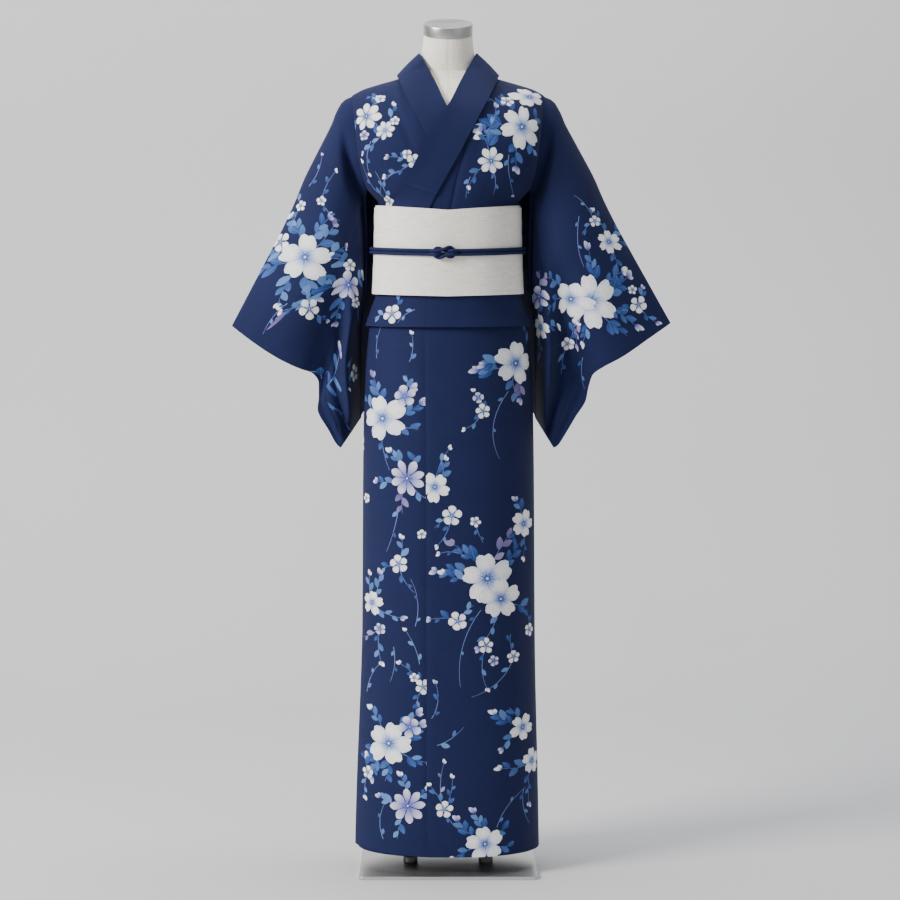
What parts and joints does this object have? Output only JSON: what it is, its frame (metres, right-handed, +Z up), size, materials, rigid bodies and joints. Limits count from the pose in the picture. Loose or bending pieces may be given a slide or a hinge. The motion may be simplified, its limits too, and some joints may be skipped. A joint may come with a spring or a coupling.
{
  "type": "yukata on a dress form",
  "caption": "Cotton yukata worn left over right with an obi and a tied cord, on a limbless dress form that stands on a square steel base.",
  "frame": {"origin": "on the floor under the middle of the dress form, on the underside of the base plate", "axes": "+Z up, -Y towards the front of the garment, +X towards the left side of its wearer"},
  "size_m": [0.815, 0.3501, 1.5859],
  "materials": {
    "navy_cotton": "matt plain-woven cotton, printed",
    "obi_cloth": "matt slubbed weave",
    "navy_cord": "soft braided cord",
    "linen": "matt linen cover",
    "steel": "brushed",
    "dark_steel": "satin"
  },
  "bodies": {
    "root": {"body_left": "navy_cotton", "body_right": "navy_cotton", "okumi_left": "navy_cotton", "okumi_right": "navy_cotton", "sleeve_left": "navy_cotton", "sleeve_right": "navy_cotton", "collar": "navy_cotton", "collar_cover": "navy_cotton", "obi": "obi_cloth", "cord": "navy_cord", "form": "linen", "neck_cap": "steel", "base_plate": "steel", "post_left": "steel", "post_right": "steel", "flange_left": "dark_steel", "flange_right": "dark_steel"}
  },
  "joints": []
}
